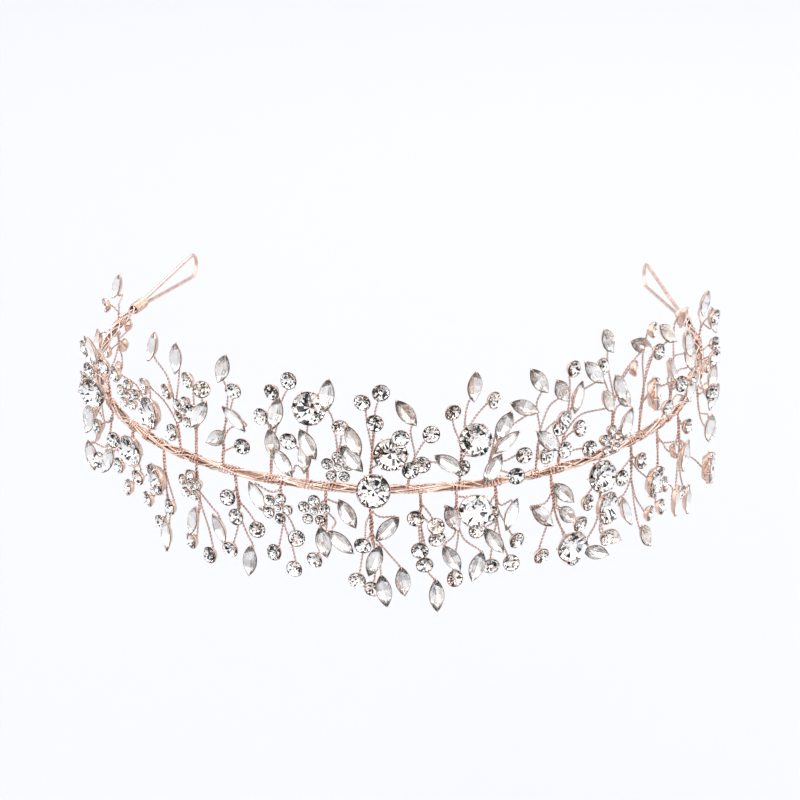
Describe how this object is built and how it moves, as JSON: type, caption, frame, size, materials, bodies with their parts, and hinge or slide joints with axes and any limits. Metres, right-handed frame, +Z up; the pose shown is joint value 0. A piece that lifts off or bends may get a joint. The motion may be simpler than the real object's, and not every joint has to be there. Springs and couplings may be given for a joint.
{
  "type": "bridal tiara",
  "caption": "Rose-gold wire tiara: an open oval band with sprays of set crystals above and below it, arms that flex open, and a ribbon loop at each end.",
  "frame": {"origin": "centre of the head opening, in the plane of the band", "axes": "+Z up out of the band's plane, -Y to the front of the tiara, +X to the viewer's right as seen from the front"},
  "size_m": [0.1714, 0.1816, 0.0651],
  "materials": {
    "band_wire": "polished rose-gold plated wire",
    "loop_wire": "polished rose-gold plated wire",
    "binding_wire": "polished rose-gold plated wire",
    "spray_wire": "polished rose-gold plated wire",
    "setting_metal": "polished rose-gold plate",
    "small_crystal": "clear faceted glass on foil",
    "navette_crystal": "clear faceted glass on foil",
    "large_crystal": "clear faceted glass on foil"
  },
  "bodies": {
    "front": {"front_band": "band_wire", "flower_stones": "small_crystal", "flower_settings": "setting_metal", "large_stones": "large_crystal", "large_settings": "setting_metal", "front_round_stones": "small_crystal", "front_round_settings": "setting_metal", "front_navette_stones": "navette_crystal", "front_navette_settings": "setting_metal", "upper_spray_01": "spray_wire", "upper_spray_02": "spray_wire", "upper_spray_03": "spray_wire", "upper_spray_04": "spray_wire", "upper_spray_05": "spray_wire", "upper_spray_06": "spray_wire", "upper_spray_07": "spray_wire", "upper_spray_08": "spray_wire", "upper_spray_09": "spray_wire", "upper_spray_10": "spray_wire", "upper_spray_11": "spray_wire", "upper_spray_12": "spray_wire", "upper_spray_13": "spray_wire", "upper_spray_14": "spray_wire", "upper_spray_15": "spray_wire", "upper_spray_16": "spray_wire", "upper_spray_17": "spray_wire", "lower_spray_01": "spray_wire", "lower_spray_02": "spray_wire", "lower_spray_03": "spray_wire", "lower_spray_04": "spray_wire", "lower_spray_05": "spray_wire", "lower_spray_06": "spray_wire", "lower_spray_07": "spray_wire", "lower_spray_08": "spray_wire", "lower_spray_09": "spray_wire", "lower_spray_10": "spray_wire", "lower_spray_11": "spray_wire", "lower_spray_12": "spray_wire", "lower_spray_13": "spray_wire", "lower_spray_14": "spray_wire", "lower_spray_15": "spray_wire", "lower_spray_16": "spray_wire"},
    "left_arm": {"left_arm_band": "band_wire", "left_ribbon_loop": "loop_wire", "left_loop_binding": "binding_wire", "left_arm_round_stones": "small_crystal", "left_arm_round_settings": "setting_metal", "left_arm_navette_stones": "navette_crystal", "left_arm_navette_settings": "setting_metal", "left_arm_spray_1": "spray_wire", "left_arm_spray_2": "spray_wire"},
    "right_arm": {"right_arm_band": "band_wire", "right_ribbon_loop": "loop_wire", "right_loop_binding": "binding_wire", "right_arm_round_stones": "small_crystal", "right_arm_round_settings": "setting_metal", "right_arm_navette_stones": "navette_crystal", "right_arm_navette_settings": "setting_metal", "right_arm_spray_1": "spray_wire", "right_arm_spray_2": "spray_wire"}
  },
  "joints": [
    {"name": "left_arm_flex", "type": "hinge", "parent": "front", "child": "left_arm", "pos_m": [-0.0765, -0.02894, 0], "axis": [0, 0, 1], "range_deg": [-6, 15]},
    {"name": "right_arm_flex", "type": "hinge", "parent": "front", "child": "right_arm", "pos_m": [0.0765, -0.02894, 0], "axis": [0, 0, -1], "range_deg": [-6, 15]}
  ]
}
